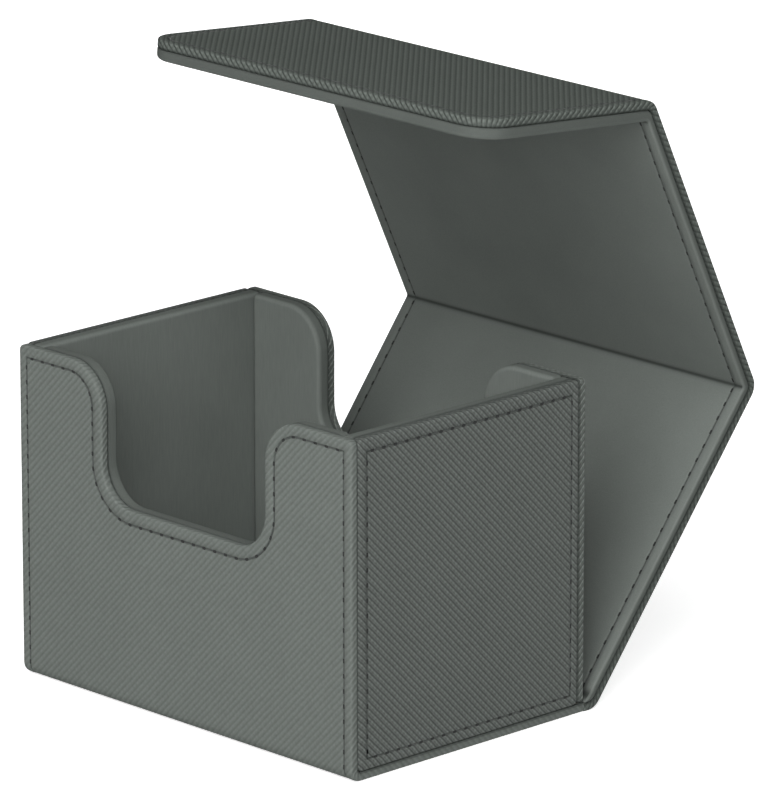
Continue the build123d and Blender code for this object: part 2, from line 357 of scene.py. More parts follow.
@dataclass(frozen=True)
class LiningCloth:
    """Soft brushed lining with a very fine nap."""

    grain: LiningGrain = LiningGrain.EVEN
    base: Colour = shade(112, 117, 113)
    deep: Colour = shade(85, 90, 86)
    depth: float = 0.2
    # seam: colour of the painted shade in seams, fold valleys and on turned edges.
    seam: Colour = shade(40, 43, 41)
    shade_cover: float = 0.8
    upright: Triple = (1.0, 1.0, 0.08)
    nap_scale: float = 3400.0
    nap_share: float = 0.5
    nap_depth: float = 0.035
    cloud_scale: float = 45.0
    cloud_share: float = 0.5
    rough: float = 0.8
    rough_spread: float = 0.12

    def make(self) -> bpy.types.Material:
        """Build the lining's material.

        Returns:
            The finished material.
        """
        recipe = Recipe("lining_" + self.grain.value)
        stretch = self.upright if self.grain is LiningGrain.UPRIGHT else (1.0, 1.0, 1.0)
        nap = recipe.noise(recipe.place(stretch), self.nap_scale, 3.0)
        cloud = recipe.noise(recipe.place(), self.cloud_scale, 3.0)
        tone = recipe.varied(cloud, self.cloud_share, recipe.varied(nap, self.nap_share, self.depth))
        cloth = recipe.tinted(self.base, self.deep, recipe.math("MAXIMUM", tone, 0.0))
        # Painted shade in seams, fold valleys and on turned edges.
        painted_shade = recipe.math("MULTIPLY", recipe.attribute(SHADE_MARK), self.shade_cover)
        colour = recipe.tinted(cloth, self.seam, painted_shade)
        rough = recipe.math("MULTIPLY_ADD", nap, self.rough_spread, self.rough)
        return recipe.surface(colour, rough, recipe.bump(nap, self.nap_depth), Specular_IOR_Level=0.0)


@dataclass(frozen=True)
class PlainFinish:
    """Finish with one tone and a fine grain, for small or hidden pieces."""

    name: str
    base: Colour
    deep: Colour
    grain: float
    stretch: Triple = (1.0, 1.0, 1.0)
    relief: float = 0.03
    rough: float = 0.7
    metallic: float = 0.0
    rough_spread: float = 0.2

    def make(self) -> bpy.types.Material:
        """Build the material.

        Returns:
            The finished material.
        """
        recipe = Recipe(self.name)
        speck = recipe.noise(recipe.place(self.stretch), self.grain, 4.0)
        colour = recipe.tinted(self.base, self.deep, speck)
        rough = recipe.varied(speck, self.rough_spread, self.rough)
        return recipe.surface(colour, rough, recipe.bump(speck, self.relief), Metallic=self.metallic)


THREAD = PlainFinish("thread", shade(70, 74, 71), shade(54, 57, 55), 2600.0, relief=0.05, rough=0.8)
# The needle hole's near-black colour is painted shade for the dark inside of each hole.
HOLE_SHADE = PlainFinish("hole_shade", shade(24, 26, 25), shade(14, 15, 14), 1500.0, rough=0.9)
BOARD = PlainFinish("grey_board", shade(150, 143, 130), shade(118, 111, 99), 900.0, (1, 1, 0.25), rough=0.9)
PAD = PlainFinish("pad_board", shade(206, 202, 192), shade(176, 171, 160), 1400.0, relief=0.06, rough=0.92)
MAGNET = PlainFinish(
    "nickel_magnet", shade(196, 194, 188), shade(168, 166, 160), 700.0, (1, 1, 6), 0.01, 0.32, 1.0
)
HIDDEN = {"_board": BOARD, "_pad": PAD, "_magnets": MAGNET}


@dataclass
class Finishes:
    """All the finishes of the case, made once."""

    front: bpy.types.Material = field(default_factory=FRONT_CLOTH.make)
    side: bpy.types.Material = field(default_factory=SIDE_CLOTH.make)
    back: bpy.types.Material = field(default_factory=BACK_CLOTH.make)
    lid: bpy.types.Material = field(default_factory=LID_CLOTH.make)
    lining: bpy.types.Material = field(default_factory=LiningCloth().make)
    well: bpy.types.Material = field(default_factory=LiningCloth(LiningGrain.UPRIGHT).make)
    thread: bpy.types.Material = field(default_factory=THREAD.make)
    hole: bpy.types.Material = field(default_factory=HOLE_SHADE.make)
    hidden: dict[str, bpy.types.Material] = field(init=False)

    def __post_init__(self) -> None:
        """Make the finishes of the hidden pieces, by the ending of their names."""
        self.hidden = {ending: finish.make() for ending, finish in HIDDEN.items()}


# ---------------------------------------------------------------- shapes


class Step(NamedTuple):
    """One point of an edge section, with its painted shade and its place on the flat cloth."""

    inset: float
    height: float
    dark: float
    unrolled: float


@dataclass(frozen=True)
class EdgeSection:
    """Section of a covered layer, from its hollow round its edge to its flat field."""

    depth: float
    cloth: float
    turn: float
    seam: float = 0.35
    seam_cuts: int = 3
    # seam_fade and the *_dark values set painted shade: in the seam, in the stitch groove, on its lips and
    # slopes, and round the turned edge.
    seam_fade: float = 7.0
    band: float = 0.25
    band_dark: float = 0.15
    turn_cuts: int = 6
    least_straight: float = 0.01
    margin: float = 0.0
    groove_width: float = 0.7
    groove_depth: float = 0.2
    groove_dark: float = 0.85
    slope_share: float = 0.45
    slope_drop: float = 0.8
    slope_dark: float = 0.45
    puff: float = 0.05
    lip_puff: float = 0.3
    edge_dark: float = 0.0
    edge_fade: float = 4.0
    lip_dark: float = 0.0
    edge_ribs: float = 0.0
    hollow: bool = True
    field_run: Triple = (0.2, 0.6, 1.1)

    def seam_points(self) -> list[Triple]:
        """Points where the cloth comes out of the seam, with the band of painted shade over it.

        Returns:
            Inset, height and painted shade of each.
        """
        points = []
        for k in range(self.seam_cuts + 1):
            angle = math.radians(90 * k / self.seam_cuts)
            inset = self.seam * (1 - math.sin(angle))
            height = self.seam * (1 - math.cos(angle)) - self.depth
            points.append((inset, height, max(1 - k / self.seam_fade, self.edge_dark)))
        band = min(self.seam - self.depth + self.band, -self.turn - self.least_straight)
        return points + [(0.0, band, max(self.band_dark, self.edge_dark))]

    def turn_points(self) -> list[Triple]:
        """Points round the turned edge, up to the visible face.

        Returns:
            Inset, height and painted shade of each, less than 0 where the ribs take stronger painted
            shading and a painted highlight.
        """
        points = []
        for k in range(self.turn_cuts + 1):
            angle = math.radians(90 * k / self.turn_cuts)
            inset = self.turn * (1 - math.cos(angle))
            height = self.turn * (math.sin(angle) - 1)
            ribs = self.edge_ribs * max(0.0, 1 - k / self.turn_cuts)
            dark = self.edge_dark * max(0.0, 1 - k / self.edge_fade)
            points.append((inset, height, dark - ribs))
        return points

    def groove_points(self) -> list[Triple]:
        """Points of the swollen border and of the groove that the stitches lie in.

        Returns:
            Inset, height and painted shade of each.
        """
        half = self.groove_width / 2
        low, slope, foot = self.margin - half, self.slope_share * half, -self.slope_drop * self.groove_depth
        return [
            ((self.turn + low) / 2, self.puff, 0.0),
            (low, self.lip_puff * self.puff, self.lip_dark),
            (self.margin - slope, foot, self.slope_dark),
            (self.margin, -self.groove_depth, self.groove_dark),
            (self.margin + slope, foot, self.slope_dark),
            (self.margin + half, 0.0, self.lip_dark),
        ]

    def steps(self) -> list[Step]:
        """Points of the section, from the inside out to the field.

        Returns:
            Steps whose heights are measured from the visible face.
        """
        raw: list[Triple] = []
        if self.hollow:
            raw += [(self.cloth, -self.cloth, 0.0), (self.cloth, -self.depth, 0.0)]
        raw += self.seam_points() + self.turn_points()
        start = self.turn
        if self.margin > 0:
            raw += self.groove_points()
            start = self.margin + self.groove_width / 2
        raw += [(start + run, 0.0, 0.0) for run in self.field_run]
        steps = []
        unrolled = raw[-1][0]
        for k in range(len(raw) - 1, -1, -1):
            inset, height, dark = raw[k]
            if k < len(raw) - 1:
                unrolled -= math.dist(raw[k][:2], raw[k + 1][:2])
            steps.append(Step(inset, height, dark, unrolled))
        return steps[::-1]


class Corner(NamedTuple):
    """Corner of an outline, with its rounding."""

    across: float
    up: float
    radius: float = 0.0
    cuts: int = 6


@dataclass(frozen=True)
class Outline:
    """Outline of a panel in its own plane, anticlockwise. An open one has a plain last edge."""

    corners: tuple[Corner, ...]
    shares: Shares = ()
    is_open: bool = False

    def share(self, edge: int) -> float:
        """Part of an inset that an edge takes.

        Args:
            edge: Number of the edge, counted round.

        Returns:
            The part, 0 for the plain edge of an open outline.
        """
        edge %= len(self.corners)
        if self.is_open and edge == len(self.corners) - 1:
            return 0.0
        return self.shares[edge] if self.shares else 1.0

    def loop(self, inset: float, least: float = 0.2) -> list[Pair]:
        """Points of the outline, moved in by a distance.

        Args:
            inset: How far in, less than 0 for out.
            least: Smallest rounding of an outward corner.

        Returns:
            Points in order, the same number for every inset.
        """
        count = len(self.corners)
        lines = []
        for k, corner in enumerate(self.corners):
            start = Vector(corner[:2])
            along = (Vector(self.corners[(k + 1) % count][:2]) - start).normalized()
            inward = Vector((-along.y, along.x))
            lines.append((start + inward * inset * self.share(k), along))
        points: list[Pair] = []
        for k, corner in enumerate(self.corners):
            (p, before), (q, after) = lines[k - 1], lines[k]
            turning = before.x * after.y - before.y * after.x
            gap = q - p
            spot = p + before * ((gap.x * after.y - gap.y * after.x) / turning)
            if corner.radius == 0:
                points.append((spot.x, spot.y))
                continue
            angle = math.atan2(turning, before.dot(after))
            pull = inset * (self.share(k - 1) + self.share(k)) / 2
            radius = max(corner.radius - pull, least) if angle > 0 else corner.radius + pull
            first = spot - before * radius * math.tan(abs(angle) / 2)
            inward = Vector((-before.y, before.x)) * math.copysign(1, angle)
            centre = first + inward * radius
            for cut in range(corner.cuts + 1):
                arm = Matrix.Rotation(angle * cut / corner.cuts, 2) @ (first - centre)
                points.append((centre.x + arm.x, centre.y + arm.y))
        return points


@dataclass(frozen=True)
class Face:
    """Plane of a panel's visible face: where it is, and its across, up and out directions."""

    origin: Vector
    across: Vector
    up: Vector
    out: Vector

    def spot(self, across: float, up: float, height: float = 0.0) -> Vector:
        """Point on the face, raised by a height."""
        return self.origin + self.across * across + self.up * up + self.out * height


@dataclass
class PanelMesh:
    """Mesh of one covered panel as it grows."""

    spots: list[Vector] = field(default_factory=list)
    flats: list[Pair] = field(default_factory=list)
    darks: list[float] = field(default_factory=list)
    faces: list[list[int]] = field(default_factory=list)

    def row(self, spots: list[Vector], flats: list[Pair], darks: list[float]) -> list[int]:
        """Add a row of points.

        Args:
            spots: Points in millimetres.
            flats: Their places on the flat cloth.
            darks: Painted shade of each, 0 to 1, for how far it lies in a groove, seam or fold; less than 0
                on turned edges, for painted rib shading and a painted highlight.

        Returns:
            Numbers of the new points.
        """
        start = len(self.spots)
        self.spots += spots
        self.flats += flats
        self.darks += darks
        return list(range(start, len(self.spots)))

    def bridge(self, first: list[int], second: list[int], closed: bool) -> None:
        """Join two rows of points with a band of faces.

        Args:
            first: Numbers of the first row's points.
            second: Numbers of the second row's points.
            closed: Whether the band goes all the way round.
        """
        count = len(first)
        for k in range(count if closed else count - 1):
            after = (k + 1) % count
            self.faces.append([first[k], first[after], second[after], second[k]])

    def cap(self, row: list[int]) -> None:
        """Close a row of points with one face."""
        self.faces.append(list(row))

    def tray(self, outline: Outline, section: EdgeSection, face: Face, mirrored: bool = False,
             end_capped: bool = True) -> "PanelMesh":
        """Add a flat covered panel with its turned edges.

        Args:
            outline: Outline of the panel.
            section: Section of its edge.
            face: Plane of its visible face.
            mirrored: Whether the ribs slant the other way.
            end_capped: Whether an open outline's plain end is closed.

        Returns:
            This mesh.
        """
        side = -1 if mirrored else 1
        rows = []
        for step in section.steps():
            spots = [face.spot(x, y, step.height) for x, y in outline.loop(step.inset)]
            flats = [(side * x, y) for x, y in outline.loop(step.unrolled)]
            rows.append(self.row(spots, flats, [step.dark] * len(spots)))
        for first, second in zip(rows, rows[1:]):
            self.bridge(first, second, not outline.is_open)
        self.cap(rows[0])
        self.cap(rows[-1])
        if outline.is_open and end_capped:
            self.cap([row[0] for row in rows] + [row[-1] for row in reversed(rows)])
        return self

    def strip(self, stations: list["Station"], share: float = 1.0,
              capped: tuple[bool, bool] = (True, True)) -> "PanelMesh":
        """Add a covered layer that runs along a path.

        Args:
            stations: Places along the path.
            share: Part of each inset that the side edges take.
            capped: Whether the first and the last end are closed.

        Returns:
            This mesh.
        """
        rows = []
        for station in stations:
            steps = station.section.steps()
            depth = station.section.depth
            half = station.width / 2
            spots, flats, darks = [], [], []
            for side, order in ((-1, steps), (1, steps[::-1])):
                for step in order:
                    level = -step.height / depth
                    y = station.face[0] + (station.back[0] - station.face[0]) * level
                    z = station.face[1] + (station.back[1] - station.face[1]) * level
                    spots.append(Vector((side * (half - step.inset * share), y, z)))
                    flats.append((side * (half - step.unrolled * share), station.travel))
                    dark = step.dark
                    # Painted shade along a fold's valley, weaker on its rolled edges.
                    if station.dark > 0:
                        rolled = step.height < 0 and step.inset < station.section.turn
                        dark = max(dark, station.dark * (ROLLED_SHARE if rolled else 1.0))
                    darks.append(dark)
            rows.append(self.row(spots, flats, darks))
        for first, second in zip(rows, rows[1:]):
            self.bridge(first, second, True)
        if capped[0]:
            self.cap(rows[0])
        if capped[1]:
            self.cap(rows[-1])
        return self

    def make(self, name: str, material: bpy.types.Material) -> bpy.types.Object:
        """Turn the rows into an object of one closed mesh.

        Args:
            name: Name of the piece.
            material: Its finish.

        Returns:
            The new object, in metres.
        """
        mesh = bpy.data.meshes.new(name)
        mesh.from_pydata([spot * MM for spot in self.spots], [], self.faces)
        flat_map = mesh.uv_layers.new(name=FLAT_MAP)
        for loop in mesh.loops:
            flat_map.data[loop.index].uv = self.flats[loop.vertex_index]
        # Painted shade of each point, read by the cloth finishes.
        mesh.attributes.new(SHADE_MARK, "FLOAT", "POINT").data.foreach_set("value", self.darks)
        work = bmesh.new()
        work.from_mesh(mesh)
        bmesh.ops.remove_doubles(work, verts=work.verts, dist=MERGE_GAP)
        bmesh.ops.recalc_face_normals(work, faces=work.faces)
        work.to_mesh(mesh)
        work.free()
        mesh.shade_smooth()
        mesh.set_sharp_from_angle(angle=SHARP_ANGLE)
        mesh.materials.append(material)
        piece = bpy.data.objects.new(name, mesh)
        bpy.context.scene.collection.objects.link(piece)
        return piece


class Station(NamedTuple):
    """Place along a strip: its visible and hidden side as (y, z), its width and its flat travel."""

    face: Pair
    back: Pair
    width: float
    travel: float
    section: EdgeSection
    # dark: painted shade along a fold's valley.
    dark: float = 0.0


# ---------------------------------------------------------------- stitches


@dataclass(frozen=True)
class StitchNodes:
    """Geometry Nodes tree that lays thread and needle holes along guide lines."""

    pitch: float = 3.35
    thread_radius: float = 0.17
    rise: float = 0.2
    dip: float = 0.12
    hole_radius: float = 0.4
    hole_stretch: float = 1.4
    hole_lift: float = 0.15
    seed: int = 4
    thread_gap: float = 0.07
    girth_spread: float = 0.12
    thread_cuts: int = 5
    thread_sides: int = 6
    hole_sides: int = 10
    hole_mark: str = "hole_shade"

    def sizes(self) -> dict[str, float]:
        """Values of the tree's named inputs.

        Returns:
            Values by name, in metres where they are lengths.
        """
        return {
            "Pitch": self.pitch * MM,
            "Thread Radius": self.thread_radius * MM,
            "Rise": self.rise * MM,
            "Dip": self.dip * MM,
            "Hole Radius": self.hole_radius * MM,
            "Hole Stretch": self.hole_stretch,
            "Hole Lift": self.hole_lift * MM,
        }

    def start(self) -> NodeBench:
        """Start the tree with its named inputs and its output.

        Returns:
            Bench to build the tree on.
        """
        tree = bpy.data.node_groups.new("stitch_row", "GeometryNodeTree")
        tree.interface.new_socket("Geometry", in_out="OUTPUT", socket_type="NodeSocketGeometry")
        kinds = {"Geometry": "NodeSocketGeometry"} | dict.fromkeys(self.sizes(), "NodeSocketFloat")
        kinds |= {"Seed": "NodeSocketInt", "Thread": "NodeSocketMaterial", "Hole": "NodeSocketMaterial"}
        for name, kind in kinds.items():
            tree.interface.new_socket(name, in_out="INPUT", socket_type=kind)
        return NodeBench(tree)

    def one_thread(self, bench: NodeBench, given: bpy.types.NodeOutputs) -> bpy.types.NodeSocket:
        """Build one thread, an arch as long as 1, from hole to hole.

        Args:
            bench: Bench of the tree.
            given: The tree's inputs.

        Returns:
            Socket with its mesh.
        """
        low = bench.math("MULTIPLY", given["Dip"], -1.0)
        arch = bench.node("GeometryNodeCurveQuadraticBezier", {
            "Resolution": self.thread_cuts,
            "Start": bench.joined(self.thread_gap, 0.0, low),
            "Middle": bench.joined(0.5, 0.0, given["Rise"]),
            "End": bench.joined(1 - self.thread_gap, 0.0, low),
        })
        feeds = {"Resolution": self.thread_sides, "Radius": given["Thread Radius"]}
        ring = bench.node("GeometryNodeCurvePrimitiveCircle", feeds, mode="RADIUS")
        feeds = {"Curve": arch.outputs[0], "Profile Curve": ring.outputs[0], "Fill Caps": True}
        thread = bench.node("GeometryNodeCurveToMesh", feeds)
        return bench.node("GeometryNodeSetShadeSmooth", {"Geometry": thread.outputs[0]}).outputs[0]

    def one_hole(self, bench: NodeBench, given: bpy.types.NodeOutputs) -> bpy.types.NodeSocket:
        """Build one needle hole, a long disc of near-black painted shade that is marked to take its own
        finish.

        Args:
            bench: Bench of the tree.
            given: The tree's inputs.

        Returns:
            Socket with its mesh.
        """
        feeds = {"Vertices": self.hole_sides, "Radius": given["Hole Radius"]}
        disc = bench.node("GeometryNodeMeshCircle", feeds, fill_type="NGON")
        raised = bench.node("GeometryNodeTransform", {
            "Geometry": disc.outputs[0],
            "Translation": bench.joined(0.0, 0.0, given["Hole Lift"]),
            "Scale": bench.joined(given["Hole Stretch"], 1.0, 1.0),
        })
        feeds = {"Geometry": raised.outputs[0], "Name": self.hole_mark, "Value": True}
        return bench.node(
            "GeometryNodeStoreNamedAttribute", feeds, data_type="BOOLEAN", domain="FACE"
        ).outputs[0]

    def turned(self, bench: NodeBench, along: bpy.types.NodeSocket) -> bpy.types.NodeSocket:
        """Rotation whose X follows a line and whose Z leaves the cloth.

        Args:
            bench: Bench of the tree.
            along: Direction of the line.

        Returns:
            Socket with the rotation.
        """
        out = bench.node("GeometryNodeInputNamedAttribute", {"Name": WAY_OUT}, data_type="FLOAT_VECTOR")
        first = bench.node("FunctionNodeAlignRotationToVector", {"Vector": along}, axis="X")
        feeds = {"Rotation": first.outputs[0], "Vector": out.outputs[0]}
        return bench.node(
            "FunctionNodeAlignRotationToVector", feeds, axis="Z", pivot_axis="X"
        ).outputs[0]

    def build(self) -> bpy.types.NodeTree:
        """Build the tree.

        Returns:
            Node group that turns guide lines into stitches.
        """
        bench = self.start()
        given = bench.node("NodeGroupInput").outputs
        lines = bench.node("GeometryNodeMeshToCurve", {"Mesh": given["Geometry"]}).outputs[0]
        feeds = {"Curve": lines, "Length": given["Pitch"]}
        points = bench.node("GeometryNodeResampleCurve", feeds, mode="LENGTH").outputs[0]

        here = bench.node("GeometryNodeInputPosition").outputs[0]
        after = bench.node("GeometryNodeOffsetPointInCurve", {"Offset": 1}).outputs
        there = bench.node("GeometryNodeFieldAtIndex", data_type="FLOAT_VECTOR", domain="POINT")
        bench.feed(there.inputs["Index"], after["Point Index"])
        bench.feed(there.inputs["Value"], here)
        reach = bench.vector("SUBTRACT", there.outputs[0], here).outputs[0]
        span = bench.vector("LENGTH", reach).outputs["Value"]
        chance = bench.node("FunctionNodeRandomValue", {"Seed": given["Seed"]}, data_type="FLOAT")
        limits = [socket for socket in chance.inputs if socket.type == "VALUE"]
        for socket, value in zip(limits, (1 - self.girth_spread, 1 + self.girth_spread)):
            bench.feed(socket, value)
        girth = next(socket for socket in chance.outputs if socket.type == "VALUE")

        threads = bench.node("GeometryNodeInstanceOnPoints", {
            "Points": points,
            "Selection": after["Is Valid Offset"],
            "Instance": self.one_thread(bench, given),
            "Rotation": self.turned(bench, reach),
            "Scale": bench.joined(span, girth, girth),
        })
        holes = bench.node("GeometryNodeInstanceOnPoints", {
            "Points": points,
            "Instance": self.one_hole(bench, given),
            "Rotation": self.turned(bench, bench.node("GeometryNodeInputTangent").outputs[0]),
        })
        together = bench.node("GeometryNodeJoinGeometry")
        for row in (threads, holes):
            bench.feed(together.inputs[0], row.outputs[0])
        real = bench.node("GeometryNodeRealizeInstances", {"Geometry": together.outputs[0]})
        feeds = {"Geometry": real.outputs[0], "Material": given["Thread"]}
        sewn = bench.node("GeometryNodeSetMaterial", feeds)
        pick = bench.node("GeometryNodeInputNamedAttribute", {"Name": self.hole_mark}, data_type="BOOLEAN")
        feeds = {"Geometry": sewn.outputs[0], "Selection": pick.outputs[0], "Material": given["Hole"]}
        pierced = bench.node("GeometryNodeSetMaterial", feeds)
        bench.node("NodeGroupOutput", {"Geometry": pierced.outputs[0]})
        return bench.tree


@dataclass
class StitchGuide:
    """Lines that one body's stitches follow, in millimetres."""

    spots: list[Vector] = field(default_factory=list)
    outs: list[Vector] = field(default_factory=list)
    edges: list[tuple[int, int]] = field(default_factory=list)

    def line(self, spots: list[Vector], outs: list[Vector]) -> None:
        """Add a line.

        Args:
            spots: Its points.
            outs: The way out of the cloth at each of them.
        """
        start = len(self.spots)
        self.spots += spots
        self.outs += outs
        self.edges += [(k, k + 1) for k in range(start, len(self.spots) - 1)]

    def on_face(self, face: Face, points: list[Pair], height: float, closed: bool = False) -> None:
        """Add a line on a flat face.

        Args:
            face: The face.
            points: The line's points on it.
            height: How high over the face it lies.
            closed: Whether the line returns to its start.
        """
        run = points + points[:1] if closed else points
        self.line([face.spot(x, y, height) for x, y in run], [face.out] * len(run))

    def sew(self, name: str, tree: bpy.types.NodeTree, nodes: StitchNodes,
            finishes: Finishes) -> bpy.types.Object:
        """Lay the stitches and keep them as a plain mesh.

        Args:
            name: Name of the piece.
            tree: Node tree that lays them.
            nodes: Its sizes.
            finishes: Finishes of the thread and holes.

        Returns:
            Object with the stitches.
        """
        mesh = bpy.data.meshes.new(name)
        mesh.from_pydata([spot * MM for spot in self.spots], self.edges, [])
        ways = mesh.attributes.new(WAY_OUT, "FLOAT_VECTOR", "POINT")
        ways.data.foreach_set("vector", [part for way in self.outs for part in way])
        piece = bpy.data.objects.new(name, mesh)
        bpy.context.scene.collection.objects.link(piece)
        sewing = piece.modifiers.new("stitches", "NODES")
        sewing.node_group = tree
        values: dict[str, object] = dict(nodes.sizes())
        values.update({"Seed": nodes.seed, "Thread": finishes.thread, "Hole": finishes.hole})
        for item in tree.interface.items_tree:
            if item.in_out == "INPUT" and item.name in values:
                sewing[item.identifier] = values[item.name]
        bpy.context.view_layer.update()
        graph = bpy.context.evaluated_depsgraph_get()
        sewn = bpy.data.meshes.new_from_object(piece.evaluated_get(graph))
        piece.modifiers.remove(sewing)
        piece.data = sewn
        bpy.data.meshes.remove(mesh)
        sewn.name = name
        return piece


# ---------------------------------------------------------------- the workshop


@dataclass
class Workshop:
    """What every sub-assembly shares: finishes, the stitch tree and the count of pieces."""

    finishes: Finishes
    stitch: StitchNodes
    tree: bpy.types.NodeTree
    made: list[str] = field(default_factory=list)

    def report(self, piece: bpy.types.Object, where: str) -> None:
        """Log one finished piece."""
        self.made.append(piece.name)
        log.info("%s: %d faces, %s", piece.name, len(piece.data.polygons), where)

    def mount(self, piece: bpy.types.Object, node: str, body: Body, slot: Slot) -> None:
        """Put a rigid piece in the place of a solid.

        Args:
            piece: The piece.
            node: Solid that it stands for.
            body: Body that it rides on.
            slot: Its finish in the record; not used.
        """
        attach(piece, body.value)
        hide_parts(node)
        self.report(piece, "on " + body.value)

    def sew(self, guide: StitchGuide, name: str) -> bpy.types.Object:
        """Lay the stitches of one guide.

        Args:
            guide: The guide.
            name: Name of the piece.

        Returns:
            Object with the stitches, not yet on a body.
        """
        piece = guide.sew(name, self.tree, self.stitch, self.finishes)
        return piece

    def sew_on(self, guide: StitchGuide, name: str, body: Body) -> None:
        """Lay the stitches of one guide on one body.

        Args:
            guide: The guide.
            name: Name of the piece.
            body: Body that it rides on.
        """
        stitches = self.sew(guide, name)
        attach(stitches, body.value)
        self.report(stitches, "on " + body.value)


# ---------------------------------------------------------------- the case


def side_face(out: Vector, across: Vector, distance: float) -> Face:
    """Upright face at a distance from the middle of the case."""
    return Face(out * distance, across, Vector((0, 0, 1)), out)


def plain_wall(width: float, low: float, high: float, rounding: float, shares: Shares = ()) -> Outline:
    """Outline of a plain wall with small rounded corners.

    Args:
        width: Width.
        low: Height of the bottom edge.
        high: Height of the top edge.
        rounding: Radius of the corners.
        shares: Part of an inset that each edge takes, from the bottom round.

    Returns:
        The outline.
    """
    half = width / 2
    spots = [(-half, low), (half, low), (half, high), (-half, high)]
    return Outline(tuple(Corner(x, y, rounding) for x, y in spots), shares)


@dataclass
class Case:
    """Box of the case: four walls, the base and the padded well."""

    shop: Workshop
    width: float = 105.0
    depth: float = 70.0
    height: float = 75.6
    outer_layer: float = 2.05
    wall_layer: float = 3.0
    floor_layer: float = 2.4
    skin_cloth: float = 0.8
    lining_cloth: float = 0.6
    skin_turn: float = 0.5
    lining_turn: float = 1.0
    corner_radius: float = 1.2
    bend_radius: float = 2.8
    base_end: float = 35.1
    notch_width: float = 51.6
    notch_depth: float = 30.5
    notch_top_radius: float = 10.0
    notch_bottom_radius: float = 9.0
    notch_cuts: int = 14
    front_foot: float = 12.0
    foot_middle: float = 6.0
    bend_lead: float = 0.6
    bend_cuts: int = 8
    front_side_share: float = 0.92
    notch_share: float = 1.15
    side_shares: Shares = (0.96, 0.84, 1.2, 1.03)
    stitch_margin: float = 2.6
    stitch_height: float = -0.2
    stitch_foot: float = 0.4
    floor_radius: float = 0.3
    # Painted shade round the turned edges of the side skins and the well linings.
    side_dark: float = 0.3
    lining_dark: float = 0.4

    def skin_section(self, edge_dark: float = 0.0) -> EdgeSection:
        """Edge of the coated cloth, with its row of stitches.

        Args:
            edge_dark: How much painted shade its turned edge takes.

        Returns:
            The section.
        """
        return EdgeSection(
            self.outer_layer, self.skin_cloth, self.skin_turn,
            margin=self.stitch_margin, edge_dark=edge_dark,
        )

    def lining_section(self, depth: float) -> EdgeSection:
        """Edge of a lining of a thickness."""
        return EdgeSection(depth, self.lining_cloth, self.lining_turn, edge_dark=self.lining_dark)

    def notch(self) -> list[Corner]:
        """Corners of the thumb notch, from right to left.

        Returns:
            The four corners.
        """
        half, floor = self.notch_width / 2, self.height - self.notch_depth
        top, bottom = self.notch_top_radius, self.notch_bottom_radius
        places = [(half, self.height, top), (half, floor, bottom)]
        places += [(-half, floor, bottom), (-half, self.height, top)]
        return [Corner(*place, self.notch_cuts) for place in places]

    def notched_wall(self, width: float, low: float) -> Outline:
        """Outline of a wall with a thumb notch in its top edge.

        Args:
            width: Width.
            low: Height of the bottom edge.

        Returns:
            The outline.
        """
        half, r = width / 2, self.corner_radius
        corners = [Corner(-half, low, r), Corner(half, low, r), Corner(half, self.height, r)]
        corners += self.notch() + [Corner(-half, self.height, r)]
        return Outline(tuple(corners))

    def front_outline(self) -> Outline:
        """Outline of the front above its foot, open where the cloth runs on under the base.

        Returns:
            The outline.
        """
        half, side = self.width / 2, self.front_side_share
        corners = [Corner(half, self.front_foot), Corner(half, self.height, self.corner_radius)]
        corners += self.notch()
        corners += [Corner(-half, self.height, self.corner_radius), Corner(-half, self.front_foot)]
        notch = (self.notch_share,) * 3
        shares = (side, 1.0, *notch, 1.0, side, 0.0)
        return Outline(tuple(corners), shares, True)

    def wrap_path(self) -> list[Station]:
        """Path of the wrap below the front: down, round the bend and along the base.

        Returns:
            Places along the path.
        """
        section, inner = self.skin_section(), self.outer_layer
        front, bend = -self.depth / 2, self.bend_radius
        heights = (self.front_foot, self.foot_middle, bend + self.bend_lead)
        spots = [((front, z), (front + inner, z)) for z in heights]
        middle = (front + bend, bend)
        for k in range(self.bend_cuts + 1):
            angle = math.radians(180 + 90 * k / self.bend_cuts)
            way = (math.cos(angle), math.sin(angle))
            spots.append(tuple(
                (middle[0] + way[0] * r, middle[1] + way[1] * r) for r in (bend, bend - inner)
            ))
        for y in (front + bend + self.bend_lead, 0.0, self.base_end):
            spots.append(((y, 0.0), (y, inner)))
        stations, travel = [], self.front_foot
        for k, (face, back) in enumerate(spots):
            if k:
                travel -= math.dist(face, spots[k - 1][0])
            stations.append(Station(face, back, self.width, travel, section))
        return stations

    def build_covers(self) -> None:
        """Make the outer cloth of the front, base, sides and back, with its stitches."""
        finishes = self.shop.finishes
        section = self.skin_section()
        guide = StitchGuide()

        face = side_face(Vector((0, -1, 0)), Vector((1, 0, 0)), self.depth / 2)
        outline = self.front_outline()
        wrap = PanelMesh().tray(outline, section, face, end_capped=False)
        wrap.strip(self.wrap_path(), self.front_side_share, (False, True))
        self.shop.mount(wrap.make("front_base_cover", finishes.front), "wrap_skin", Body.CASE, Slot.SKIN)
        path = outline.loop(self.stitch_margin, STITCH_ROUNDING)
        foot = self.bend_radius + self.stitch_foot
        path = [(path[0][0], foot)] + path[1:-1] + [(path[-1][0], foot)]
        guide.on_face(face, path, self.stitch_height)

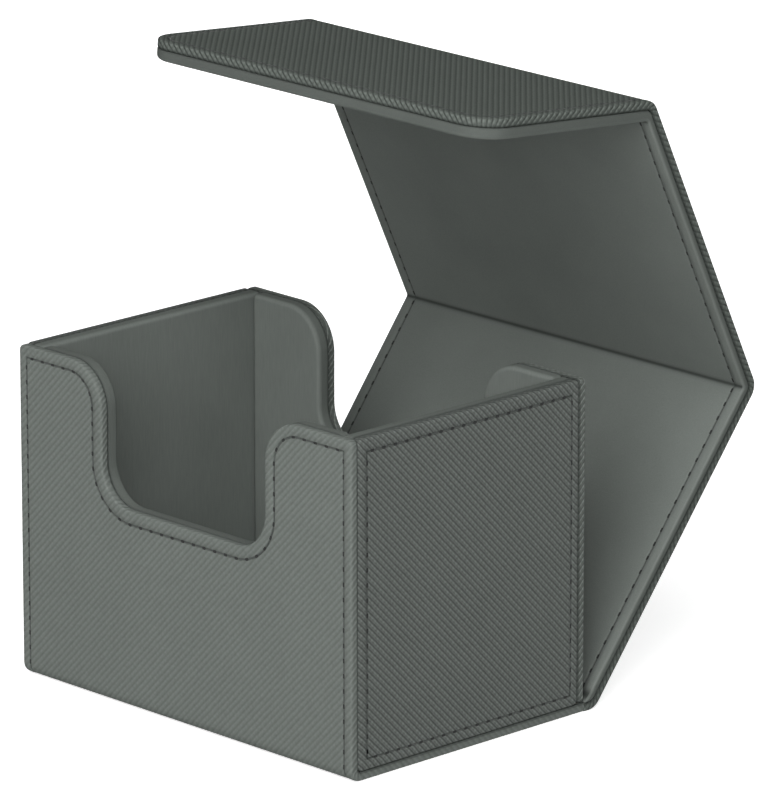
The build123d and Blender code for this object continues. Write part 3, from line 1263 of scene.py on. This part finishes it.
        low, rear, top, front = self.side_shares
        size = (self.depth - 2 * self.outer_layer, self.outer_layer, self.height, self.corner_radius)
        left = plain_wall(*size, (low, front, top, rear))
        right = plain_wall(*size, (low, rear, top, front))
        back = self.notched_wall(self.width, self.outer_layer)
        seamed = self.skin_section(self.side_dark)
        walls = [
            ("left", Vector((-1, 0, 0)), Vector((0, -1, 0)), self.width / 2, left, seamed, finishes.side),
            ("right", Vector((1, 0, 0)), Vector((0, 1, 0)), self.width / 2, right, seamed, finishes.side),
            ("back", Vector((0, 1, 0)), Vector((-1, 0, 0)), self.depth / 2, back, section, finishes.back),
        ]
        for name, out, across, distance, shape, edge, cloth in walls:
            face = side_face(out, across, distance)
            cover = PanelMesh().tray(shape, edge, face, name != "back").make(name + "_cover", cloth)
            self.shop.mount(cover, name + "_skin", Body.CASE, Slot.SKIN)
            guide.on_face(face, shape.loop(self.stitch_margin, STITCH_ROUNDING), self.stitch_height, True)
        self.shop.sew_on(guide, "case_stitches", Body.CASE)

    def build_well(self) -> None:
        """Make the lining of the well: four walls and the floor."""
        wall = self.outer_layer + self.wall_layer
        section = self.lining_section(self.wall_layer)
        inside = self.depth - 2 * self.outer_layer
        sides = plain_wall(inside, self.outer_layer, self.height, self.corner_radius)
        ends = self.notched_wall(self.width - 2 * wall, self.outer_layer)
        walls = [
            ("left", Vector((1, 0, 0)), Vector((0, 1, 0)), wall - self.width / 2, sides),
            ("right", Vector((-1, 0, 0)), Vector((0, -1, 0)), wall - self.width / 2, sides),
            ("front", Vector((0, 1, 0)), Vector((-1, 0, 0)), wall - self.depth / 2, ends),
            ("back", Vector((0, -1, 0)), Vector((1, 0, 0)), wall - self.depth / 2, ends),
        ]
        well = self.shop.finishes.well
        for name, out, across, distance, shape in walls:
            face = side_face(out, across, distance)
            inner = PanelMesh().tray(shape, section, face).make(name + "_inner", well)
            self.shop.mount(inner, name + "_lining", Body.CASE, Slot.LINING)
        half_width, half_depth = self.width / 2 - wall, self.depth / 2 - wall
        spots = [(-half_width, -half_depth), (half_width, -half_depth)]
        spots += [(half_width, half_depth), (-half_width, half_depth)]
        shape = Outline(tuple(Corner(x, y, self.floor_radius, 2) for x, y in spots))
        top = Vector((0, 0, self.outer_layer + self.floor_layer))
        face = Face(top, Vector((1, 0, 0)), Vector((0, 1, 0)), Vector((0, 0, 1)))
        floor = PanelMesh().tray(shape, self.lining_section(self.floor_layer), face)
        inner = floor.make("floor_inner", self.shop.finishes.lining)
        self.shop.mount(inner, "floor_lining", Body.CASE, Slot.LINING)


# ---------------------------------------------------------------- the lid


def run_of(lean: float) -> Vector:
    """Direction in (y, z) that leans forward from upright by an angle in degrees."""
    angle = math.radians(lean)
    return Vector((-math.sin(angle), math.cos(angle)))


def face_of(lean: float) -> Vector:
    """Direction in (y, z) that a panel of a lean faces on its outside."""
    return run_of(lean - 90)


def crossing(p: Vector, along: Vector, q: Vector, across: Vector) -> Vector:
    """Point where two (y, z) lines meet.

    Args:
        p: Point on the first line.
        along: Its direction.
        q: Point on the second line.
        across: Its direction.

    Returns:
        The point.
    """
    gap = q - p
    turn = along.x * across.y - along.y * across.x
    return p + along * ((gap.x * across.y - gap.y * across.x) / turn)


@dataclass(frozen=True)
class LidPanel:
    """One flat panel of the lid: its fold axis as (y, z), its lean and its spans."""

    name: str
    body: Body
    axis: Pair
    lean: float
    start: float
    end: float
    start_width: float
    end_width: float
    layer: float

    def at(self, along: float, level: float) -> Pair:
        """Point at a distance from the axis, at a level under the outer face."""
        spot = Vector(self.axis) + run_of(self.lean) * along + face_of(self.lean) * (AXIS_DEPTH - level)
        return (spot.x, spot.y)

    def face(self, level: float, outward: bool) -> Face:
        """Face of the panel at a level under its outer face.

        Args:
            level: The level.
            outward: Whether it looks out of the lid.

        Returns:
            The face.
        """
        run, out = run_of(self.lean), face_of(self.lean)
        base = Vector(self.axis) + out * (AXIS_DEPTH - level)
        side = 1 if outward else -1
        return Face(
            Vector((0, base.x, base.y)),
            Vector((1, 0, 0)),
            Vector((0, run.x, run.y)),
            Vector((0, out.x, out.y)) * side,
        )

    def edge_lines(self, inset: float) -> list[list[Pair]]:
        """Lines along the left and right edges, on the panel's face.

        Args:
            inset: Distance from the edge.

        Returns:
            Two lines of two points each.
        """
        lines = []
        for side in (-1, 1):
            low = (side * (self.start_width / 2 - inset), self.start)
            high = (side * (self.end_width / 2 - inset), self.end)
            lines.append([low, high])
        return lines


@dataclass(frozen=True)
class LidFold:
    """One fold of the lid: where its axis is, how it bends and what it joins."""

    name: str
    bodies: tuple[Body, Body]
    axis: Pair
    lean_in: float
    lean_out: float
    reach_in: float
    reach_out: float
    layer_in: float
    layer_out: float
    radius: float
    width: float
    cuts: int = 12
    foot_bulge: Pair = (1.6, 0.9)
    foot_cuts: int = 8
    valley_arm: float = 0.42
    valley_ease: float = 0.4
    valley_cuts: int = 4

    def end(self, outgoing: bool, level: float) -> Vector:
        """Point at one end of the fold.

        Args:
            outgoing: Whether it is the end away from the base.
            level: Level under the outer face.

        Returns:
            The point in (y, z).
        """
        lean = self.lean_out if outgoing else self.lean_in
        reach = self.reach_out if outgoing else -self.reach_in
        return Vector(self.axis) + run_of(lean) * reach + face_of(lean) * (AXIS_DEPTH - level)

    def bend(self, level: float) -> list[Vector]:
        """Line of the bent skin.

        Args:
            level: Level under its outer face.

        Returns:
            Points in (y, z) from end to end.
        """
        first, last = self.end(False, self.radius), self.end(True, self.radius)
        middle = crossing(first, run_of(self.lean_in), last, run_of(self.lean_out))
        arm = self.radius - level
        line = [self.end(False, level)]
        for k in range(self.cuts + 1):
            lean = self.lean_in + (self.lean_out - self.lean_in) * k / self.cuts
            line.append(middle + face_of(lean) * arm)
        return line + [self.end(True, level)]

    def valley(self, outer_layer: float) -> list[Vector]:
        """Line of the lining, down one panel into the fold and up the other.

        Args:
            outer_layer: Thickness of the skin's layer.

        Returns:
            Points in (y, z) from end to end.
        """
        first = self.end(False, outer_layer + self.layer_in)
        last = self.end(True, outer_layer + self.layer_out)
        if self.bodies[0] is Body.CASE:
            hinge = Vector((first.x + self.foot_bulge[0], first.y + self.foot_bulge[1]))
            near, far, cuts = first, last, self.foot_cuts
            before, beyond = [], []
        else:
            hinge = crossing(first, run_of(self.lean_in), last, run_of(self.lean_out))
            near = hinge - run_of(self.lean_in) * self.valley_arm
            far = hinge + run_of(self.lean_out) * self.valley_arm
            cuts = self.valley_cuts
            before = [first, first.lerp(near, 1 - self.valley_ease)]
            beyond = [far.lerp(last, self.valley_ease), last]
        shares = [k / cuts for k in range(cuts + 1)]
        turn = [near * (1 - t) ** 2 + hinge * 2 * t * (1 - t) + far * t ** 2 for t in shares]
        return before + turn + beyond


def spread(line: list[Vector], like: list[Vector]) -> list[Vector]:
    """Points along a line, spaced as those of another line are.

    Args:
        line: Line to follow.
        like: Line whose spacing is taken.

    Returns:
        As many points as the other line has.
    """
    def travel(points: list[Vector]) -> list[float]:
        """Distance run along a line.

        Args:
            points: The line's points.

        Returns:
            Distance at each of them, as a share of the whole.
        """
        run = [0.0]
        for p, q in zip(points, points[1:]):
            run.append(run[-1] + (q - p).length)
        return [r / run[-1] for r in run]

    run, tiny = travel(line), 1e-9
    found = []
    for wanted in travel(like):
        step = next((j for j in range(1, len(run)) if run[j] >= wanted - tiny), len(run) - 1)
        part = (wanted - run[step - 1]) / max(run[step] - run[step - 1], tiny)
        found.append(line[step - 1].lerp(line[step], min(max(part, 0.0), 1.0)))
    return found


@dataclass
class Lid:
    """Wrap-round lid: three covered panels and the folds between them."""

    shop: Workshop
    outer_layer: float = 2.05
    back_layer: float = 1.6
    top_layer: float = 1.5
    flap_layer: float = 2.6
    skin_cloth: float = 0.8
    lining_cloth: float = 0.6
    skin_turn: float = 0.5
    lining_turn: float = 1.0
    thin_turn: float = 0.55
    thick_lining: float = 2.0
    skin_margin: float = 2.5
    lining_margin: float = 3.0
    skin_groove: float = 1.0
    # Painted shade on the lips of the stitch groove.
    lip_dark: float = 0.35
    edge_ribs: float = 1.0
    # Turned skin edges take stronger painted rib shading and a painted highlight.
    free_radius: float = 8.2
    free_cuts: int = 12
    lower_width: float = 105.6
    lid_width: float = 106.6
    base_end: float = 35.1
    lower_axis: Pair = (37.9, AXIS_DEPTH)
    back_length: float = 79.25
    top_length: float = 76.8
    flap_length: float = 51.3
    back_lean: float = -38.0
    top_lean: float = 25.25
    flap_lean: float = 85.15
    relief: float = 0.3
    foot_layer: float = 0.15
    least_layer: float = 1.5
    lower_radius: float = 4.0
    rear_radius: float = 4.0
    front_radius: float = 3.5
    stitch_height: float = -0.2
    # Painted shade round the turned edges of the linings.
    edge_dark: float = 0.5
    # Painted shade along the bottom of each fold valley, fading to both sides.
    fold_dark: float = 1.3
    fold_fade: float = 2.6

    def reach(self, layer: float) -> float:
        """Distance from a fold's axis to where a panel beside one of a layer begins."""
        return self.outer_layer + layer - AXIS_DEPTH + self.relief

    def reaches(self) -> Triple:
        """Reach of a panel beside the back panel, the top panel and the flap."""
        return tuple(self.reach(layer) for layer in (self.back_layer, self.top_layer, self.flap_layer))

    def rear_axis(self) -> Pair:
        """Axis of the fold between the back and top panels."""
        return tuple(Vector(self.lower_axis) + run_of(self.back_lean) * self.back_length)

    def front_axis(self) -> Pair:
        """Axis of the fold between the top panel and the front flap."""
        return tuple(Vector(self.rear_axis()) + run_of(self.top_lean) * self.top_length)

    def panels(self) -> list[LidPanel]:
        """List the panels.

        Returns:
            The three panels, from the base out.
        """
        wide = self.lid_width
        by_back, by_top, by_flap = self.reaches()
        return [
            LidPanel("back_panel", Body.BACK_PANEL, self.lower_axis, self.back_lean,
                     by_back, self.back_length - by_top, self.lower_width, wide, self.back_layer),
            LidPanel("top_panel", Body.TOP_PANEL, self.rear_axis(), self.top_lean,
                     by_back, self.top_length - by_flap, wide, wide, self.top_layer),
            LidPanel("front_flap", Body.FRONT_FLAP, self.front_axis(), self.flap_lean,
                     by_top, self.flap_length, wide, wide, self.flap_layer),
        ]

    def folds(self) -> list[LidFold]:
        """List the folds.

        Returns:
            The three folds, from the base out.
        """
        by_back, by_top, by_flap = self.reaches()
        return [
            LidFold("lower_crease", (Body.CASE, Body.BACK_PANEL), self.lower_axis, -90.0, self.back_lean,
                    self.lower_axis[0] - self.base_end, by_back, self.foot_layer, self.back_layer,
                    self.lower_radius, self.lower_width),
            LidFold("rear_crease", (Body.BACK_PANEL, Body.TOP_PANEL), self.rear_axis(), self.back_lean,
                    self.top_lean, by_top, by_back, self.back_layer, self.top_layer,
                    self.rear_radius, self.lid_width),
            LidFold("front_crease", (Body.TOP_PANEL, Body.FRONT_FLAP), self.front_axis(), self.top_lean,
                    self.flap_lean, by_flap, by_top, self.top_layer, self.flap_layer,
                    self.front_radius, self.lid_width),
        ]

    def skin_section(self, hollow: bool = True) -> EdgeSection:
        """Edge of the coated cloth, with its row of stitches.

        Args:
            hollow: Whether a board lies in it.

        Returns:
            The section.
        """
        return EdgeSection(
            self.outer_layer, self.skin_cloth, self.skin_turn, margin=self.skin_margin,
            groove_width=self.skin_groove, lip_dark=self.lip_dark, edge_ribs=self.edge_ribs, hollow=hollow,
        )

    def lining_section(self, depth: float, hollow: bool = True) -> EdgeSection:
        """Edge of the lining, with its row of stitches.

        Args:
            depth: Thickness of its layer.
            hollow: Whether a pad lies in it.

        Returns:
            The section.
        """
        turn = self.lining_turn if depth > self.thick_lining else self.thin_turn
        return EdgeSection(
            depth, self.lining_cloth, turn, margin=self.lining_margin,
            edge_dark=self.edge_dark, hollow=hollow,
        )

    def flap_outline(self, panel: LidPanel) -> Outline:
        """Outline of the flap with its rounded free corners, open at its fold.

        Args:
            panel: The flap.

        Returns:
            The outline.
        """
        half = self.lid_width / 2
        return Outline((
            Corner(half, panel.start),
            Corner(half, panel.end, self.free_radius, self.free_cuts),
            Corner(-half, panel.end, self.free_radius, self.free_cuts),
            Corner(-half, panel.start),
        ), (), True)

    def build_panel(self, panel: LidPanel, travel: float) -> None:
        """Make one panel's cover and lining, with its stitches.

        Args:
            panel: The panel.
            travel: Where the panel starts on the flat cloth.
        """
        finishes, whole = self.shop.finishes, self.outer_layer + panel.layer
        skin, lining = self.skin_section(), self.lining_section(panel.layer)
        sides = [
            ("_cover", "_skin", skin, 0.0, finishes.lid, Slot.SKIN),
            ("_inner", "_lining", lining, whole, finishes.lining, Slot.LINING),
        ]
        ends = ((panel.start, panel.start_width), (panel.end, panel.end_width))
        guide = StitchGuide()
        for ending, node, section, level, material, slot in sides:
            face = panel.face(level, slot is Slot.SKIN)
            mesh = PanelMesh()
            if panel.body is Body.FRONT_FLAP:
                shape = self.flap_outline(panel)
                mesh.tray(shape, section, face)
                mesh.flats = [(x, y - panel.start + travel) for x, y in mesh.flats]
                lines = [shape.loop(section.margin, STITCH_ROUNDING)]
            else:
                mesh.strip([
                    Station(panel.at(along, level), panel.at(along, self.outer_layer), width,
                            travel + along - panel.start, section)
                    for along, width in ends
                ])
                lines = panel.edge_lines(section.margin)
            for line in lines:
                guide.on_face(face, line, self.stitch_height)
            self.shop.mount(mesh.make(panel.name + ending, material), panel.name + node, panel.body, slot)
        self.shop.sew_on(guide, panel.name + "_stitches", panel.body)

    def bend_piece(self, piece: bpy.types.Object, fold: LidFold, level_in: float, level_out: float) -> None:
        """Bake a piece's place into its mesh and log it between a fold's two bodies; it does not bend.

        Args:
            piece: The piece.
            fold: The fold.
            level_in: Level under the outer face at the fold's end by the base.
            level_out: Level at its other end.
        """
        first, last = fold.end(False, level_in), fold.end(True, level_out)
        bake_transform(piece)
        self.shop.report(piece, "between " + " and ".join(body.value for body in fold.bodies))

    def build_fold_cover(self, fold: LidFold, travel: float) -> float:
        """Make one fold's cover.

        Args:
            fold: The fold.
            travel: Where the fold starts on the flat cloth.

        Returns:
            Where the next panel starts on the flat cloth.
        """
        section = self.skin_section(False)
        outer, under = fold.bend(0), fold.bend(self.outer_layer)
        stations, run = [], travel
        for k, (face, back) in enumerate(zip(outer, under)):
            if k:
                run += (face - outer[k - 1]).length
            stations.append(Station(tuple(face), tuple(back), fold.width, run, section))
        cover = PanelMesh().strip(stations).make(fold.name + "_cover", self.shop.finishes.lid)
        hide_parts(fold.name + "_skin")
        self.bend_piece(cover, fold, self.outer_layer, self.outer_layer)
        return run

    def build_fold_lining(self, fold: LidFold) -> None:
        """Make one fold's lining, with painted shade at the bottom of its valley.

        Args:
            fold: The fold.
        """
        valley = fold.valley(self.outer_layer)
        behind = spread(fold.bend(self.outer_layer), valley)
        layers = (max(layer, self.least_layer) for layer in (fold.layer_in, fold.layer_out))
        first, last = (self.lining_section(layer, False) for layer in layers)
        lowest = len(valley) // 2
        stations = []
        for k, (face, back) in enumerate(zip(valley, behind)):
            section = first if k < lowest else last
            deep = min(1.0, max(0.0, self.fold_dark - abs(k - lowest) / self.fold_fade))
            stations.append(Station(tuple(face), tuple(back), fold.width, float(k), section, deep))
        inner = PanelMesh().strip(stations).make(fold.name + "_inner", self.shop.finishes.lining)
        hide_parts(fold.name + "_lining")
        self.bend_piece(inner, fold, self.outer_layer + fold.layer_in, self.outer_layer + fold.layer_out)

    def build_fold_stitches(self, fold: LidFold) -> None:
        """Lay the stitches along both edges of one fold's cover.

        Args:
            fold: The fold.
        """
        outer, under = fold.bend(0), fold.bend(self.outer_layer)
        ways = [face_of(fold.lean_in)]
        ways += [(p - q).normalized() for p, q in zip(outer[1:-1], under[1:-1])]
        ways += [face_of(fold.lean_out)]
        guide = StitchGuide()
        for side in (-1, 1):
            x = side * (fold.width / 2 - self.skin_margin)
            spots = [Vector((x, *(p + way * self.stitch_height))) for p, way in zip(outer, ways)]
            guide.line(spots, [Vector((0, way.x, way.y)) for way in ways])
        stitches = self.shop.sew(guide, fold.name + "_stitches")
        self.bend_piece(stitches, fold, self.outer_layer, self.outer_layer)

    def build(self) -> None:
        """Make the lid from the base out."""
        travel = 0.0
        for fold, panel in zip(self.folds(), self.panels()):
            travel = self.build_fold_cover(fold, travel)
            self.build_fold_lining(fold)
            self.build_fold_stitches(fold)
            self.build_panel(panel, travel)
            travel += panel.end - panel.start


def dress_hidden(finishes: Finishes) -> None:
    """Give the boards, pads and magnets their finishes.

    Args:
        finishes: All the finishes.
    """
    for name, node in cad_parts.items():
        for ending, material in finishes.hidden.items():
            if name.endswith(ending):
                node.data.materials.clear()
                node.data.materials.append(material)
                log.info("%s: %s", name, material.name)


# ---------------------------------------------------------------- the studio


class Lamp(NamedTuple):
    """Soft square lamp: power in watts, place round the case in degrees, size in metres."""

    name: str
    power: float
    azimuth: float
    elevation: float
    size: float


@dataclass
class Studio:
    """Pale floor, soft light and the camera."""

    azimuth: float = 46.037
    elevation: float = 16.165
    distance: float = 1695.181
    aim_right: float = 18.664
    aim_up: float = -3.117
    aim_height: float = 70.0
    lens: float = 351.56
    sensor: float = 36.0
    sky: float = 0.02
    lamps: tuple[Lamp, ...] = (
        Lamp("key", 16.8, 38.0, 42.0, 1.4),
        Lamp("side", 3.0, 60.0, 48.0, 1.4),
        Lamp("front", 5.0, 25.0, 35.0, 0.9),
        Lamp("rear", 7.0, 225.0, 5.0, 0.3),
    )
    lamp_distance: float = 1.2
    lamp_aim: Triple = (0.0, 0.02, 0.06)
    floor_tones: tuple[Colour, Colour] = ((0.86, 0.86, 0.86, 1), (0.84, 0.84, 0.84, 1))
    floor_cloud: float = 8.0
    floor_glow: float = 0.7
    floor_near: float = 0.5
    floor_rise: float = 0.5
    floor_half: float = 3.0
    floor_height: float = -0.0001

    def toward(self, azimuth: float, elevation: float) -> Vector:
        """Direction from the case to a place round it."""
        a, e = math.radians(azimuth), math.radians(elevation)
        return Vector((math.sin(a) * math.cos(e), -math.cos(a) * math.cos(e), math.sin(e)))

    def seen(self, bench: NodeBench) -> bpy.types.NodeSocket:
        """Whether the camera sees a thing, straight on, mirrored or through glass.

        Args:
            bench: Bench of the tree that asks.

        Returns:
            Socket with 1 where it does and 0 where a thing only gives light.
        """
        path = bench.node("ShaderNodeLightPath").outputs
        mirrored = bench.math("MAXIMUM", path["Is Glossy Ray"], path["Is Transmission Ray"])
        return bench.math("MAXIMUM", path["Is Camera Ray"], mirrored)

    def build_camera(self) -> None:
        """Set up the camera at the photograph's viewing angle."""
        back = self.toward(self.azimuth, self.elevation)
        right = Vector((math.cos(math.radians(self.azimuth)), math.sin(math.radians(self.azimuth)), 0))
        up = back.cross(right)
        aim = Vector((0, 0, self.aim_height)) + right * self.aim_right + up * self.aim_up
        data = bpy.data.cameras.new("camera")
        data.lens, data.sensor_width = self.lens, self.sensor
        camera = bpy.data.objects.new("camera", data)
        camera.location = (aim + back * self.distance) * MM
        camera.rotation_euler = (-back).to_track_quat("-Z", "Y").to_euler()
        bpy.context.scene.collection.objects.link(camera)
        bpy.context.scene.camera = camera

    def build_light(self) -> None:
        """Set up a dim even sky and the soft lamps."""
        bpy.context.scene.view_settings.view_transform = "Standard"
        world = bpy.data.worlds.new("studio")
        bpy.context.scene.world = world
        world.use_nodes = True
        bench = NodeBench(world.node_tree)
        bench.tree.nodes.clear()
        lit, shown = (
            bench.node("ShaderNodeBackground", {"Color": WHITE, "Strength": strength}).outputs[0]
            for strength in (self.sky, 1.0)
        )
        mix = bench.combined("ShaderNodeMixShader", self.seen(bench), lit, shown)
        bench.node("ShaderNodeOutputWorld", {"Surface": mix.outputs[0]})

        for lamp in self.lamps:
            data = bpy.data.lights.new(lamp.name, "AREA")
            data.energy, data.size = lamp.power, lamp.size
            light = bpy.data.objects.new(lamp.name, data)
            way = self.toward(lamp.azimuth, lamp.elevation)
            light.location = Vector(self.lamp_aim) + way * self.lamp_distance
            light.rotation_euler = (-way).to_track_quat("-Z", "Y").to_euler()
            bpy.context.scene.collection.objects.link(light)

    def build_floor(self) -> None:
        """Lay a pale floor that keeps the shadow and reads white to the camera."""
        recipe = Recipe("pale_floor")
        cloud = recipe.noise(recipe.place(), self.floor_cloud, 2.0)
        matt = recipe.node("ShaderNodeBsdfDiffuse", {"Color": recipe.tinted(*self.floor_tones, cloud)})
        away = recipe.vector("LENGTH", recipe.place()).outputs["Value"]
        near = self.floor_glow - self.floor_near * self.floor_rise
        rise = recipe.math("MULTIPLY_ADD", away, self.floor_rise, near)
        level = recipe.math("MINIMUM", recipe.math("MAXIMUM", rise, self.floor_glow), 1.0)
        strength = recipe.math("MULTIPLY", self.seen(recipe), level)
        glow = recipe.node("ShaderNodeEmission", {"Color": WHITE, "Strength": strength})
        both = recipe.combined("ShaderNodeAddShader", matt.outputs[0], glow.outputs[0])
        recipe.feed(recipe.output.inputs["Surface"], both.outputs[0])
        mesh = bpy.data.meshes.new("floor")
        half, height = self.floor_half, self.floor_height
        corners = [(x, y, height) for x, y in ((-half, -half), (half, -half), (half, half), (-half, half))]
        mesh.from_pydata(corners, [], [[0, 1, 2, 3]])
        mesh.materials.append(recipe.material)
        floor = bpy.data.objects.new("floor", mesh)
        bpy.context.scene.collection.objects.link(floor)


def main() -> None:
    """Build the case piece by piece."""
    logging.basicConfig(level=logging.INFO, format="%(message)s")
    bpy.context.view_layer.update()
    finishes = Finishes()
    stitch = StitchNodes()
    shop = Workshop(finishes, stitch, stitch.build())
    studio = Studio()
    studio.build_camera()
    studio.build_light()
    studio.build_floor()
    case = Case(shop)
    case.build_covers()
    case.build_well()
    Lid(shop).build()
    dress_hidden(finishes)
    log.info("%d pieces made", len(shop.made))


if __name__ == "__main__":
    main()
